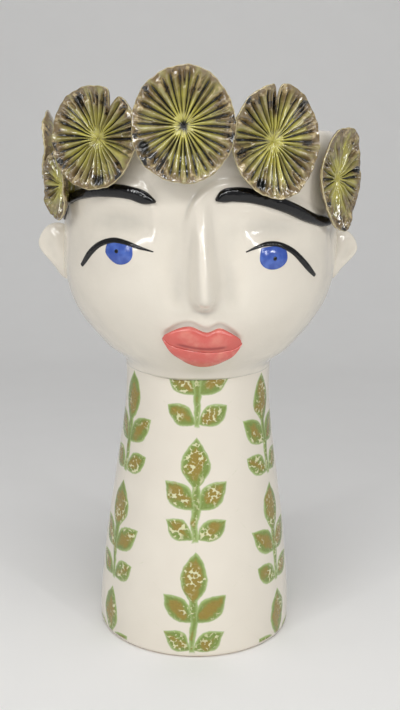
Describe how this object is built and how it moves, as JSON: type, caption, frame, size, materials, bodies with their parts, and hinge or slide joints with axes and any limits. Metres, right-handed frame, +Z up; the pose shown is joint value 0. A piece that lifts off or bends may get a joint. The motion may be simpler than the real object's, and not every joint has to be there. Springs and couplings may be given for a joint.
{
  "type": "face vase",
  "caption": "Free-standing glazed ceramic vase: a bell-shaped neck carries a hollow head with a modelled face, ears and a wreath of lily pads round its open rim.",
  "frame": {"origin": "middle of the flat foot, on the surface that the vase stands on", "axes": "+Z up along the neck, -Y the way the face looks, +X to the right as seen from the front"},
  "size_m": [0.1993, 0.1892, 0.3498],
  "materials": {
    "white_glaze": "gloss",
    "black_glaze": "gloss",
    "coral_glaze": "gloss",
    "lily_glaze": "gloss",
    "bare_clay": "matt"
  },
  "bodies": {
    "root": {"floor_slab": "bare_clay", "neck_wall": "white_glaze", "face_shell": "white_glaze", "back_shell": "white_glaze", "nose": "white_glaze", "upper_lip": "coral_glaze", "lower_lip": "coral_glaze", "left_brow": "black_glaze", "right_brow": "black_glaze", "left_ear": "white_glaze", "right_ear": "white_glaze", "lily_pad_front": "lily_glaze", "lily_pad_front_left": "lily_glaze", "lily_pad_front_right": "lily_glaze", "lily_pad_left_low": "lily_glaze", "lily_pad_right": "lily_glaze", "lily_pad_left_high": "lily_glaze", "lily_pad_back_left": "lily_glaze", "lily_pad_back": "lily_glaze", "lily_pad_back_right": "lily_glaze", "lily_pad_right_rear": "lily_glaze"}
  },
  "joints": []
}
